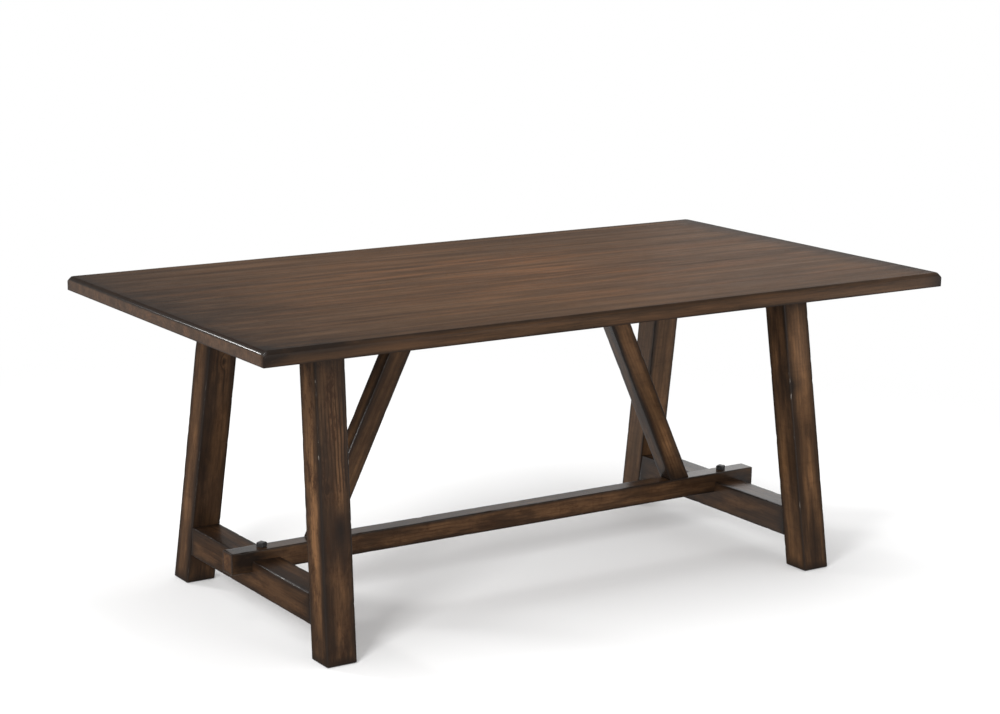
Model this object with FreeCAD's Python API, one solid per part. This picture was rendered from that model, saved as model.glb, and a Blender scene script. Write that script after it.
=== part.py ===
import FreeCAD, Part
import math
import os
from FreeCAD import Vector

# Trestle dining table in millimetres. The origin is on the floor under the middle of the top,
# +X runs along the length, +Y to the back and +Z up. Left is -X and front is -Y.

# Top: boards glued edge to edge, its upper edge bevelled
table_length = 1905.0
table_width = 1000.0
table_height = 762.0
top_thickness = 35.0
top_edge_bevel = 7.0
board_count = 7

# Loose tenons across the glued joints of the top
loose_tenon_thickness = 8.0
loose_tenon_width = 50.0
loose_tenon_length = 40.0

# Legs: the overhangs are from the edges of the top to the outer faces of the legs at its underside,
# and the splays are how far those faces stand further out at the floor
leg_along = 77.0
leg_across = 72.0
end_overhang = 244.0
side_overhang = 225.0
splay_along = 26.5
splay_across = 110.0
arris = 3.0

# Tenon at the head of a leg, into the cleat
head_tenon_along = 26.0
head_tenon_across = 40.0
head_tenon_length = 26.0

# Cleat that joins a pair of legs under the top
cleat_thickness = 40.0
cleat_width = 72.0
cleat_overhang = 42.0
cleat_bevel = 22.0

# End stretcher between the feet of a pair, tenoned into both legs
end_stretcher_bottom = 76.0
end_stretcher_height = 74.0
end_stretcher_width = 74.0
end_tenon_thickness = 26.0
end_tenon_shoulder = 12.0
end_tenon_length = 42.0

# Long stretcher lapped over both end stretchers
long_stretcher_width = 47.0
long_stretcher_height = 52.0
long_stretcher_projection = 54.0
lap_seat = 16.0
lap_notch = 12.0

# Diagonal braces from the long stretcher up to the top
brace_depth = 56.0
brace_width = 44.0
brace_foot_setback = 155.0
brace_head_offset = 270.0
brace_tenon_along = 22.0
brace_tenon_across = 16.0
brace_tenon_length = 20.0

# Cleat that holds the head of a brace under the top
brace_cleat_thickness = 40.0
brace_cleat_length = 150.0
brace_cleat_width = 90.0
brace_cleat_screw_edge = 22.0

# Square-headed bolt down through each lap, with a washer and nut in a pocket below
lap_head_across = 19.0
lap_head_height = 12.0
lap_head_chamfer = 2.5
lap_head_turn = 26.0
lap_bolt_diameter = 10.0
lap_bolt_past_nut = 3.0
lap_washer_diameter = 24.0
lap_washer_thickness = 2.0
lap_nut_across = 17.0
lap_nut_height = 8.0

# Hexagon bolts up through the cleats into inserts in the top
cleat_bolt_from_leg = 79.0
cleat_bolt_diameter = 8.0
cleat_bolt_engagement = 15.0
cleat_bolt_head_across = 13.0
cleat_bolt_head_height = 5.3
cleat_slot_travel = 8.0
cleat_washer_diameter = 22.0
cleat_washer_thickness = 2.0
insert_diameter = 13.0
insert_length = 18.0

# Wood screws
screw_diameter = 5.0
screw_head_diameter = 10.0
screw_head_height = 3.0
screw_in_top = 20.0
screw_in_brace = 30.0
screw_pocket = 10.0

# Nail-on glides under the feet
glide_diameter = 30.0
glide_thickness = 2.0
glide_pin_diameter = 3.0
glide_pin_length = 16.0

# Fits
joint_clearance = 0.15
tenon_end_gap = 1.0
bolt_hole_clearance = 0.5
thread_clearance = 0.05

along = Vector(1, 0, 0)
across = Vector(0, 1, 0)
upward = Vector(0, 0, 1)
sides = {"left": -1, "right": 1}
rows = {"front": -1, "back": 1}

top_underside = table_height - top_thickness
leg_bottom = glide_thickness
leg_top = top_underside - cleat_thickness
end_stretcher_top = end_stretcher_bottom + end_stretcher_height
lap_level = end_stretcher_top - lap_seat
long_stretcher_bottom = lap_level - lap_notch
long_stretcher_top = long_stretcher_bottom + long_stretcher_height
brace_head_level = top_underside - brace_cleat_thickness


def leg_centre_along(z):
    outer_face = table_length / 2 - end_overhang + splay_along * (1 - z / top_underside)
    return outer_face - leg_along / 2


def leg_centre_across(z):
    outer_face = table_width / 2 - side_overhang + splay_across * (1 - z / top_underside)
    return outer_face - leg_across / 2


def leg_inner_face(z):
    return leg_centre_across(z) - leg_across / 2


end_stretcher_middle = end_stretcher_bottom + end_stretcher_height / 2
end_stretcher_x = leg_centre_along(end_stretcher_middle)
cleat_x = leg_centre_along(leg_top)
cleat_half_length = leg_centre_across(leg_top) + leg_across / 2 + cleat_overhang
long_stretcher_end = end_stretcher_x + end_stretcher_width / 2 + long_stretcher_projection
brace_foot_x = end_stretcher_x - brace_foot_setback
brace_lean = (brace_foot_x - brace_head_offset) / (top_underside - long_stretcher_top)
brace_head_x = brace_foot_x - brace_lean * (brace_head_level - long_stretcher_top)
brace_along = brace_depth * math.hypot(1, brace_lean)
board_width = table_width / board_count
cleat_bolt_pitch = leg_inner_face(leg_top) - cleat_bolt_from_leg
cleat_bolt_rows = [-cleat_bolt_pitch, 0.0, cleat_bolt_pitch]
lap_pocket_depth = lap_washer_thickness + lap_nut_height + lap_bolt_past_nut
lap_pocket_top = end_stretcher_bottom + lap_pocket_depth


def block(x, y, z):
    low = Vector(min(x), min(y), min(z))
    return Part.makeBox(abs(x[1] - x[0]), abs(y[1] - y[0]), abs(z[1] - z[0]), low)


def rod(x, y, z, diameter):
    return Part.makeCylinder(diameter / 2, abs(z[1] - z[0]), Vector(x, y, min(z)))


def polygon_face(points):
    return Part.Face(Part.makePolygon(points + [points[0]]))


def bar(start, end, right, up, width, height):
    # Square-edged timber with its four long arrises eased, cut level with its section plane
    w = width / 2
    h = height / 2
    corners = [(w - arris, -h), (w, arris - h), (w, h - arris), (w - arris, h)]
    corners += [(-a, -b) for a, b in corners]
    return polygon_face([start + right * a + up * b for a, b in corners]).extrude(end - start)


def hexagon(x, y, z, flats):
    reach = flats / math.sqrt(3)
    turns = [math.radians(60 * step) for step in range(6)]
    points = [Vector(x + reach * math.cos(t), y + reach * math.sin(t), min(z)) for t in turns]
    return polygon_face(points).extrude(upward * abs(z[1] - z[0]))


def square(middle, half):
    return (middle - half, middle + half)


def save(node, solids):
    shape = solids[0] if len(solids) == 1 else Part.makeCompound(solids)
    shape.exportStep("parts/" + node + ".step")


# Joint cutters: the same block makes the tenon and, grown by the clearance, its mortise

def head_tenon(sx, sy, grow=0.0, gap=0.0):
    x = square(sx * leg_centre_along(leg_top), head_tenon_along / 2 + grow)
    y = square(sy * leg_centre_across(leg_top), head_tenon_across / 2 + grow)
    return block(x, y, (leg_top, leg_top + head_tenon_length + gap))


def end_tenon(sx, sy, grow=0.0, gap=0.0):
    x = square(sx * end_stretcher_x, end_tenon_thickness / 2 + grow)
    root = leg_inner_face(end_stretcher_top) - end_tenon_shoulder
    tip = leg_inner_face(end_stretcher_middle) + end_tenon_length + gap
    z = square(end_stretcher_middle, end_stretcher_height / 2 - end_tenon_shoulder + grow)
    return block(x, (sy * root, sy * tip), z)


def brace_foot_tenon(sx, grow=0.0, gap=0.0):
    x = square(sx * brace_foot_x, brace_tenon_along / 2 + grow)
    y = square(0, brace_tenon_across / 2 + grow)
    return block(x, y, (long_stretcher_top - brace_tenon_length - gap, long_stretcher_top))


def brace_head_tenon(sx, grow=0.0, gap=0.0):
    x = square(sx * brace_head_x, brace_tenon_along / 2 + grow)
    y = square(0, brace_tenon_across / 2 + grow)
    return block(x, y, (brace_head_level, brace_head_level + brace_tenon_length + gap))


def screw(x, y, head, tip, extra=0.0):
    # Shank with a flat head, from the outer face of the head to the point
    step = math.copysign(screw_head_height, tip - head)
    shank = rod(x, y, (head, tip), screw_diameter + 2 * extra)
    return shank.fuse(rod(x, y, (head, head + step), screw_head_diameter + 2 * extra)).removeSplitter()


def brace_cleat_screw_places(sx):
    reach = brace_cleat_length / 2 - brace_cleat_screw_edge
    side = brace_cleat_width / 2 - brace_cleat_screw_edge
    return [(sx * brace_head_x + a, b) for a in (-reach, reach) for b in (-side, side)]


def brace_cleat_screw(x, y, extra=0.0):
    return screw(x, y, brace_head_level, top_underside + screw_in_top, extra)


def brace_head_screw(sx, extra=0.0):
    return screw(sx * brace_head_x, 0, top_underside, brace_head_level - screw_in_brace, extra)


def brace_foot_screw(sx, extra=0.0):
    head = long_stretcher_bottom + screw_pocket
    return screw(sx * brace_foot_x, 0, head, long_stretcher_top + screw_in_brace, extra)


# Top

def loose_tenon_stations():
    cleat_inner = cleat_x - cleat_width / 2
    cleat_outer = cleat_x + cleat_width / 2
    inner = (brace_head_x + brace_cleat_length / 2 + cleat_inner) / 2
    outer = (cleat_outer + table_length / 2) / 2
    return [-outer, -inner, 0.0, inner, outer]


def loose_tenon(x, y, grow=0.0, gap=0.0):
    z = square(top_underside + top_thickness / 2, loose_tenon_thickness / 2 + grow)
    return block(square(x, loose_tenon_width / 2 + grow), square(y, loose_tenon_length / 2 + gap), z)


def loose_tenon_places():
    joints = [board_width * number - table_width / 2 for number in range(1, board_count)]
    return [(x, y) for y in joints for x in loose_tenon_stations()]


def cleat_bolt_places():
    return [(sx * cleat_x, y) for sx in sides.values() for y in cleat_bolt_rows]


def make_top_boards():
    z = (top_underside, table_height)
    slab = block(square(0, table_length / 2), square(0, table_width / 2), z)
    upper = [edge for edge in slab.Edges if edge.BoundBox.ZMin > table_height - top_edge_bevel]
    slab = slab.makeChamfer(top_edge_bevel, upper)
    holes = [loose_tenon(x, y, joint_clearance, tenon_end_gap) for x, y in loose_tenon_places()]
    depth = (top_underside, top_underside + insert_length)
    holes += [rod(x, y, depth, insert_diameter) for x, y in cleat_bolt_places()]
    for sx in sides.values():
        holes += [brace_cleat_screw(x, y, thread_clearance) for x, y in brace_cleat_screw_places(sx)]
    slab = slab.cut(holes)
    for number in range(board_count):
        front = board_width * number - table_width / 2
        strip = block(square(0, table_length), (front, front + board_width), z)
        save("top_board_%d" % (number + 1), [slab.common(strip)])


# Trestle ends

def make_leg(sx, sy):
    foot = Vector(sx * leg_centre_along(leg_bottom), sy * leg_centre_across(leg_bottom), leg_bottom)
    head = Vector(sx * leg_centre_along(leg_top), sy * leg_centre_across(leg_top), leg_top)
    leg = bar(foot, head, along, across, leg_along, leg_across)
    leg = leg.fuse(head_tenon(sx, sy)).removeSplitter()
    leg = leg.cut(end_tenon(sx, sy, joint_clearance, tenon_end_gap))
    pin = (leg_bottom, leg_bottom + glide_pin_length)
    return leg.cut(rod(foot.x, foot.y, pin, glide_pin_diameter + 2 * thread_clearance))


def make_cleat(sx):
    low = leg_top
    ends = [(-1, top_underside), (1, top_underside), (1, low + cleat_bevel)]
    outline = [Vector(0, end * cleat_half_length, z) for end, z in ends]
    outline.append(Vector(0, cleat_half_length - cleat_bevel, low))
    outline.append(Vector(0, cleat_bevel - cleat_half_length, low))
    outline.append(Vector(0, -cleat_half_length, low + cleat_bevel))
    cleat = polygon_face(outline).extrude(along * cleat_width)
    cleat.translate(along * (sx * cleat_x - cleat_width / 2))
    for sy in rows.values():
        cleat = cleat.cut(head_tenon(sx, sy, joint_clearance, tenon_end_gap))
    hole = cleat_bolt_diameter + 2 * bolt_hole_clearance
    z = (leg_top, top_underside)
    for y in cleat_bolt_rows:
        travel = cleat_slot_travel / 2 if y else 0.0
        cleat = cleat.cut([rod(sx * cleat_x, y - travel, z, hole), rod(sx * cleat_x, y + travel, z, hole)])
        if travel:
            cleat = cleat.cut(block(square(sx * cleat_x, hole / 2), square(y, travel), z))
    return cleat


def lap_bolt_hole(sx, low, high):
    return rod(sx * end_stretcher_x, 0, (low, high), lap_bolt_diameter + 2 * bolt_hole_clearance)


def make_end_stretcher(sx):
    # Both shoulders are cut to the lean of the legs
    low = leg_inner_face(end_stretcher_bottom)
    high = leg_inner_face(end_stretcher_top)
    outline = [(-low, end_stretcher_bottom), (low, end_stretcher_bottom)]
    outline += [(high, end_stretcher_top), (-high, end_stretcher_top)]
    shoulders = polygon_face([Vector(0, y, z) for y, z in outline]).extrude(along * end_stretcher_width)
    shoulders.translate(along * (sx * end_stretcher_x - end_stretcher_width / 2))
    end = Vector(sx * end_stretcher_x, low, end_stretcher_middle)
    timber = bar(end - across * 2 * low, end, along, upward, end_stretcher_width, end_stretcher_height)
    stretcher = timber.common(shoulders)
    stretcher = stretcher.fuse([end_tenon(sx, sy) for sy in rows.values()]).removeSplitter()
    x = square(sx * end_stretcher_x, end_stretcher_width)
    seat = block(x, square(0, long_stretcher_width / 2 + joint_clearance), (lap_level, long_stretcher_top))
    pocket = lap_washer_diameter + 2 * bolt_hole_clearance
    nut_pocket = rod(sx * end_stretcher_x, 0, (end_stretcher_bottom, lap_pocket_top), pocket)
    return stretcher.cut([seat, nut_pocket, lap_bolt_hole(sx, end_stretcher_bottom, end_stretcher_top)])


# Long stretcher and braces

def make_long_stretcher():
    end = Vector(long_stretcher_end, 0, (long_stretcher_bottom + long_stretcher_top) / 2)
    start = end - along * 2 * long_stretcher_end
    stretcher = bar(start, end, across, upward, long_stretcher_width, long_stretcher_height)
    cuts = []
    for sx in sides.values():
        x = square(sx * end_stretcher_x, end_stretcher_width / 2 + joint_clearance)
        cuts.append(block(x, square(0, long_stretcher_width), (long_stretcher_bottom, lap_level)))
        cuts.append(lap_bolt_hole(sx, long_stretcher_bottom, long_stretcher_top))
        cuts.append(brace_foot_tenon(sx, joint_clearance, tenon_end_gap))
        cuts.append(brace_foot_screw(sx, thread_clearance))
        pocket = (long_stretcher_bottom, long_stretcher_bottom + screw_pocket)
        width = screw_head_diameter + 2 * bolt_hole_clearance
        cuts.append(rod(sx * brace_foot_x, 0, pocket, width))
    return stretcher.cut(cuts)


def make_brace(sx):
    foot = Vector(sx * brace_foot_x, 0, long_stretcher_top)
    head = Vector(sx * brace_head_x, 0, brace_head_level)
    brace = bar(foot, head, along, across, brace_along, brace_width)
    brace = brace.fuse([brace_foot_tenon(sx), brace_head_tenon(sx)]).removeSplitter()
    return brace.cut([brace_foot_screw(sx, thread_clearance), brace_head_screw(sx, thread_clearance)])


def make_brace_cleat(sx):
    x = square(sx * brace_head_x, brace_cleat_length / 2)
    cleat = block(x, square(0, brace_cleat_width / 2), (brace_head_level, top_underside))
    cuts = [brace_cleat_screw(a, b, thread_clearance) for a, b in brace_cleat_screw_places(sx)]
    cuts += [brace_head_tenon(sx, joint_clearance, tenon_end_gap), brace_head_screw(sx, thread_clearance)]
    return cleat.cut(cuts)


# Hardware

def make_lap_bolt(sx):
    x = sx * end_stretcher_x
    head_top = long_stretcher_top + lap_head_height
    half = lap_head_across / 2
    head = block(square(x, half), square(0, half), (long_stretcher_top, head_top))
    rim = [edge for edge in head.Edges if edge.BoundBox.ZMin > head_top - lap_head_chamfer]
    head = head.makeChamfer(lap_head_chamfer, rim)
    head.rotate(Vector(x, 0, 0), upward, lap_head_turn)
    shank = rod(x, 0, (end_stretcher_bottom, long_stretcher_top), lap_bolt_diameter)
    return head.fuse(shank).removeSplitter()


def make_lap_washer(sx):
    z = (lap_pocket_top - lap_washer_thickness, lap_pocket_top)
    hole = lap_bolt_diameter + 2 * thread_clearance
    x = sx * end_stretcher_x
    return rod(x, 0, z, lap_washer_diameter).cut(rod(x, 0, z, hole))


def make_lap_nut(sx):
    high = lap_pocket_top - lap_washer_thickness
    z = (high - lap_nut_height, high)
    x = sx * end_stretcher_x
    return hexagon(x, 0, z, lap_nut_across).cut(rod(x, 0, z, lap_bolt_diameter + 2 * thread_clearance))


def make_cleat_bolt(x, y):
    seat = leg_top - cleat_washer_thickness
    head = hexagon(x, y, (seat - cleat_bolt_head_height, seat), cleat_bolt_head_across)
    shank = rod(x, y, (seat, top_underside + cleat_bolt_engagement), cleat_bolt_diameter)
    return head.fuse(shank).removeSplitter()


def make_cleat_washer(x, y):
    z = (leg_top - cleat_washer_thickness, leg_top)
    return rod(x, y, z, cleat_washer_diameter).cut(rod(x, y, z, cleat_bolt_diameter + 2 * thread_clearance))


def make_insert(x, y):
    z = (top_underside, top_underside + insert_length)
    return rod(x, y, z, insert_diameter).cut(rod(x, y, z, cleat_bolt_diameter + 2 * thread_clearance))


def make_glide(sx, sy):
    x = sx * leg_centre_along(leg_bottom)
    y = sy * leg_centre_across(leg_bottom)
    pad = rod(x, y, (0, glide_thickness), glide_diameter)
    pin = rod(x, y, (0, leg_bottom + glide_pin_length), glide_pin_diameter)
    return pad.fuse(pin).removeSplitter()


os.makedirs("parts", exist_ok=True)
make_top_boards()
save("top_loose_tenons", [loose_tenon(x, y) for x, y in loose_tenon_places()])
for side, sx in sides.items():
    for row, sy in rows.items():
        save("leg_%s_%s" % (row, side), [make_leg(sx, sy)])
    save("trestle_cleat_" + side, [make_cleat(sx)])
    save("end_stretcher_" + side, [make_end_stretcher(sx)])
    save("brace_" + side, [make_brace(sx)])
    save("brace_cleat_" + side, [make_brace_cleat(sx)])
    save("lap_bolt_" + side, [make_lap_bolt(sx)])
save("long_stretcher", [make_long_stretcher()])
save("lap_washers", [make_lap_washer(sx) for sx in sides.values()])
save("lap_nuts", [make_lap_nut(sx) for sx in sides.values()])
save("cleat_bolts", [make_cleat_bolt(x, y) for x, y in cleat_bolt_places()])
save("cleat_washers", [make_cleat_washer(x, y) for x, y in cleat_bolt_places()])
save("top_inserts", [make_insert(x, y) for x, y in cleat_bolt_places()])
save("brace_foot_screws", [brace_foot_screw(sx) for sx in sides.values()])
save("brace_head_screws", [brace_head_screw(sx) for sx in sides.values()])
cleat_screw_places = [place for sx in sides.values() for place in brace_cleat_screw_places(sx)]
save("brace_cleat_screws", [brace_cleat_screw(x, y) for x, y in cleat_screw_places])
save("leg_glides", [make_glide(sx, sy) for sx in sides.values() for sy in rows.values()])
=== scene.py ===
import math
import random

import bmesh
import bpy
from mathutils import Euler, Matrix, Vector, noise


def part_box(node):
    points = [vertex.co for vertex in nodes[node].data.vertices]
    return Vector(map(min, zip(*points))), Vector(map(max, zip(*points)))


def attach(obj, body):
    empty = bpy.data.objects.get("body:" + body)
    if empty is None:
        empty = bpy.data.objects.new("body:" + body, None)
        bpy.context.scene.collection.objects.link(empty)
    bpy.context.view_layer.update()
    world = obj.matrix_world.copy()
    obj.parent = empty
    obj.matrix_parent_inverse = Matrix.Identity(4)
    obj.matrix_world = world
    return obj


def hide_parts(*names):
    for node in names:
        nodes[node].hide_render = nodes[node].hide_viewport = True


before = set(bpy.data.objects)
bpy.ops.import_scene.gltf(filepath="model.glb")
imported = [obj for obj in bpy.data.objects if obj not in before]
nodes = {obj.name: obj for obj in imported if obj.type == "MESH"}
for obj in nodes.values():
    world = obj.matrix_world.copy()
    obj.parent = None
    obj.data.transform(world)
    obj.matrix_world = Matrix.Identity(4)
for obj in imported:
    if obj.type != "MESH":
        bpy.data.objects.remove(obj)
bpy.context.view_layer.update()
print("frame loaded with", len(nodes), "nodes")


def mathOf(operation):
    # a method that adds one Math node, the wire first
    return lambda self, *others: self.math(operation, self, *others)


class Wire:
    # a socket in a shader tree: sums, products and the like add Math nodes
    __add__ = __radd__ = mathOf("ADD")
    __sub__ = mathOf("SUBTRACT")
    __mul__ = __rmul__ = mathOf("MULTIPLY")
    __truediv__ = mathOf("DIVIDE")
    __pow__ = mathOf("POWER")
    __abs__ = mathOf("ABSOLUTE")
    sine = mathOf("SINE")
    low = mathOf("MINIMUM")
    high = mathOf("MAXIMUM")

    def __init__(self, tree, socket=None):
        self.tree = tree
        self.socket = socket

    def node(self, kind, settings, values, out=0):
        made = self.tree.nodes.new(kind)
        for key, value in settings.items():
            if key == "stops":
                ramp = made.color_ramp.elements
                while len(ramp) < len(value):
                    ramp.new(1.0)
                for element, (place, colour) in zip(ramp, value):
                    element.position = place
                    element.color = (*colour, 1.0)
            else:
                setattr(made, key, value)
        for key, value in values.items():
            plug(made, key, value)
        return Wire(self.tree, made.outputs[out])

    def math(self, operation, *values):
        return self.node("ShaderNodeMath", {"operation": operation}, dict(enumerate(values)))

    def __rsub__(self, other):
        return self.math("SUBTRACT", other, self)

    def middle(self, second, third):
        # the middle one of three values
        return self.low(second).high(self.high(second).low(third))

    def rise(self, start, end):
        # 0 below start, 1 above end, smooth between
        values = {"Value": self, "From Min": start, "From Max": end}
        return self.node("ShaderNodeMapRange", {"interpolation_type": "SMOOTHSTEP"}, values)

    def parts(self):
        split = self.node("ShaderNodeSeparateXYZ", {}, {0: self}).socket.node
        return [Wire(self.tree, socket) for socket in split.outputs]

    def cloud(self, factors, detail=4.0, roughness=0.55):
        # noise stretched by a factor on each axis
        place = self.node("ShaderNodeVectorMath", {"operation": "MULTIPLY"}, {0: self, 1: factors})
        values = {"Vector": place, "Scale": 1.0, "Detail": detail, "Roughness": roughness}
        return self.node("ShaderNodeTexNoise", {}, values)

    def blend(self, first, second):
        # colour mix with this wire as the factor
        settings = {"data_type": "RGBA", "blend_type": "MIX", "clamp_factor": True}
        return self.node("ShaderNodeMix", settings, {0: self, 6: first, 7: second}, out=2)


def newMaterial(name):
    material = bpy.data.materials.new(name)
    material.use_nodes = True
    tree = material.node_tree
    return material, Wire(tree), tree.nodes["Principled BSDF"]


def plug(node, key, value):
    # links a wire to an input, or sets the input to a plain value
    if isinstance(value, Wire):
        node.id_data.links.new(value.socket, node.inputs[key])
    else:
        node.inputs[key].default_value = value


def rgb(*channels):
    return (*channels, 1.0)


def attribute(base, name):
    settings = {"attribute_type": "GEOMETRY", "attribute_name": name}
    return base.node("ShaderNodeAttribute", settings, {}, out="Vector")


# Stained timber. Seven vectors ride on each mesh: grain is the place in the piece (along, across,
# through), figure is that place in the tree, half is half the piece's size, mood is its tone, ring
# lines and warmth, marks are given one by one (dark glaze, warm patches, knots; a few dark marks are
# painted shade, and a few warm and tone marks painted sheen), finish is wear (pale arris specks,
# partly painted glints), glaze width and mottling, and shine is the polish of a face and of the arrises.

def stainedTimber(name, look):
    material, base, shader = newMaterial(name)
    figure = attribute(base, "figure")
    along, across, through = attribute(base, "grain").parts()
    halfLong, halfWide, halfDeep = attribute(base, "half").parts()
    tone, lines, warmth = attribute(base, "mood").parts()
    darkPlace, warmPlace, knot = attribute(base, "marks").parts()
    wear, glazeWidth, mottle = attribute(base, "finish").parts()
    polish, edgeShine = attribute(base, "shine").parts()[:2]
    edges = look["edges"]

    def cloudOf(kind):
        return figure.cloud(*look[kind])

    def sharpCloud(kind):
        return cloudOf(kind).rise(*edges[kind])

    def tinted(colour, factor, tint):
        return factor.blend(colour, rgb(*look[tint]))

    # distance to the nearest arris, and one for the glaze, which reaches further in at ends and rims
    toEnd = halfLong - abs(along)
    toSide = halfWide - abs(across)
    toFace = halfDeep - abs(through)
    arris = toEnd.middle(toSide, toFace)
    nearEnd = 1 - toEnd.rise(*look["rimReach"])
    toRim = (halfDeep - through - nearEnd * look["rimDepth"]).high(0.0).low(halfDeep + through)
    rimScale = nearEnd * look["rimGain"] + look["faceScale"]
    rubbed = (toEnd * look["endScale"]).middle(toSide, toRim * rimScale)

    streak = cloudOf("streak")
    patch = cloudOf("patch")
    fibre = cloudOf("fibre")
    smudge = cloudOf("smudge")
    pore = sharpCloud("pore")

    # growth rings round the heart of the tree, bent by a slow wander and by knots
    figAlong, figAcross, figThrough = figure.parts()
    heart = (figAcross * figAcross + figThrough * figThrough) ** 0.5
    wander = (cloudOf("wander") - 0.5) * look["wanderWidth"]
    radius = heart + figAlong * look["taper"] + wander + knot * look["knotBend"]
    ring = (radius * (2 * math.pi / look["ringSpacing"])).sine() * 0.5 + 0.5
    ringLine = ((ring ** look["ringSharpness"]) * sharpCloud("ringFade") * lines).low(1.0)

    # stain: streaks, warm patches, threads, ring lines, knots and pores, with painted light in a few
    # tone and warm marks
    streakShare, broadShare, patchShare = look["shares"]
    level = streak * streakShare + cloudOf("broad") * broadShare + patch * patchShare + tone
    colour = base.node("ShaderNodeValToRGB", {"stops": look["stops"]}, {0: level})
    warm = patch.rise(*edges["warm"]) * (warmth + warmPlace * 0.6) + warmPlace * 0.4
    colour = tinted(colour, warm.low(0.9), "amber")
    colour = tinted(colour, sharpCloud("thread") * look["threadDepth"], "threadColour")
    colour = tinted(colour, sharpCloud("chatter") * look["chatterDepth"], "threadColour")
    colour = tinted(colour, ringLine * look["lineDepth"], "lineColour")
    colour = tinted(colour, knot.rise(*edges["knot"]) * look["knotDepth"], "lineColour")
    colour = tinted(colour, pore * look["poreDepth"], "lineColour")
    colour = tinted(colour, ((fibre - 0.5) * look["fibreDepth"] + 0.06).high(0.0), "fibreColour")
    colour = tinted(colour, (sharpCloud("blotch") * mottle).low(0.9), "threadColour")

    # end grain drinks more stain
    endFace = 1 - toEnd.rise(*look["endReach"])
    endRing = ring * 0.3 + fibre * 0.7
    colour = tinted(colour, endFace * endRing * look["endDepth"], "endColour")

    # glaze rubbed dark into the edges and joints, then pale specks on the arris itself:
    # partly wear through the finish, partly painted glints
    reach = look["glazeReach"] * glazeWidth * (smudge * 1.8 + 0.25)
    glaze = (1 - (rubbed / reach).low(1.0)) ** look["glazeFall"]
    # the dark marks: mostly glaze at joints and edges, a few of them painted shade
    smearedGlazeAndShade = darkPlace * (smudge.rise(*edges["smear"]) * 0.5 + 0.5) * (1 - endFace)
    glaze = glaze.high(smearedGlazeAndShade).low(1.0) * look["glazeDepth"]
    colour = tinted(colour, glaze, "glazeColour")
    onArris = 1 - arris.rise(*look["wornGlintReach"])
    wornAndGlints = (onArris * sharpCloud("speck") * sharpCloud("wornStretch") * wear).low(1.0)
    colour = tinted(colour, wornAndGlints * look["wornGlintDepth"], "wornGlintColour")
    plug(shader, "Base Color", colour)

    sheen = look["roughness"] + (smudge - 0.5) * 0.16 + (fibre - 0.5) * 0.1
    sheen = sheen + pore * 0.12 - glaze * 0.06
    plug(shader, "Roughness", sheen.high(0.2).low(0.8))
    height = fibre * 0.35 + streak * 0.4 - pore * 0.5 - ringLine * 0.45
    height = height * (arris.rise(*look["smoothReach"]) * 0.85 + 0.15) - wornAndGlints * 0.8
    relief = {"Strength": look["bump"], "Distance": look["bumpDistance"], "Height": height}
    plug(shader, "Normal", base.node("ShaderNodeBump", {}, relief))
    edgeGloss = (1 - arris.rise(*look["glossReach"])) * edgeShine * look["edgeGloss"]
    plug(shader, "Coat Weight", (polish + edgeGloss + look["coat"]).low(1.0))
    plug(shader, "IOR", look["ior"])
    plug(shader, "Coat Roughness", look["coatRoughness"])
    return material


# Noises are a factor on each axis, detail and at times roughness. Edges are where a noise starts and
# is full. What ends in Reach is a distance in metres.
frameLook = {
    "broad": ((1.1, 11.0, 11.0), 3.0),
    "streak": ((2.4, 48.0, 48.0), 5.0, 0.62),
    "thread": ((7.0, 210.0, 210.0), 4.0, 0.6),
    "fibre": ((16.0, 800.0, 800.0), 3.0),
    "pore": ((45.0, 1700.0, 1700.0), 1.0),
    "patch": ((6.0, 26.0, 26.0), 4.0, 0.6),
    "smudge": ((9.0, 26.0, 26.0), 4.0, 0.65),
    "chatter": ((95.0, 10.0, 10.0), 3.0),
    "blotch": ((15.0, 36.0, 36.0), 6.0, 0.78),
    "wander": ((4.5, 13.0, 13.0), 4.0),
    "ringFade": ((3.0, 14.0, 14.0), 2.0),
    "speck": ((70.0, 420.0, 420.0), 2.0),
    "wornStretch": ((7.0, 18.0, 18.0), 2.0),
    "edges": {
        "thread": (0.5, 0.68), "pore": (0.6, 0.72), "chatter": (0.5, 0.72), "blotch": (0.46, 0.68),
        "ringFade": (0.3, 0.55), "warm": (0.44, 0.66), "knot": (0.45, 0.8), "smear": (0.25, 0.6),
        "speck": (0.52, 0.62), "wornStretch": (0.5, 0.6),
    },
    "shares": (0.46, 0.24, 0.3),
    "stops": [(0.36, (0.022, 0.0125, 0.0078)), (0.47, (0.052, 0.028, 0.0148)),
              (0.57, (0.092, 0.049, 0.0235)), (0.68, (0.142, 0.074, 0.034))],
    "amber": (0.188, 0.094, 0.042),
    "threadDepth": 0.3,
    "threadColour": (0.03, 0.014, 0.007),
    "chatterDepth": 0.22,
    "lineDepth": 0.85,
    "lineColour": (0.014, 0.008, 0.005),
    "knotDepth": 0.9,
    "knotBend": 0.014,
    "poreDepth": 0.4,
    "fibreDepth": 0.4,
    "fibreColour": (0.17, 0.085, 0.038),
    "taper": 0.015,
    "wanderWidth": 0.017,
    "ringSpacing": 0.0092,
    "ringSharpness": 3.0,
    "endScale": 0.55,
    "endReach": (0.0004, 0.0016),
    "endDepth": 0.6,
    "endColour": (0.06, 0.027, 0.014),
    "faceScale": 1.0,
    "rimReach": (0.008, 0.014),
    "rimDepth": 0.0,
    "rimGain": 0.0,
    "glazeReach": 0.019,
    "glazeFall": 1.15,
    "glazeDepth": 0.96,
    "glazeColour": (0.011, 0.008, 0.0065),
    # pale specks on the arrises: partly wear through the finish, partly painted glints
    "wornGlintReach": (0.00084, 0.0028),
    "wornGlintDepth": 0.7,
    "wornGlintColour": (0.5, 0.45, 0.4),
    "roughness": 0.4,
    "bump": 0.3,
    "bumpDistance": 0.0006,
    "smoothReach": (0.002, 0.009),
    "ior": 1.06,
    "coat": 0.02,
    "coatRoughness": 0.2,
    "edgeGloss": 0.16,
    "glossReach": (0.0015, 0.0045),
}

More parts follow.
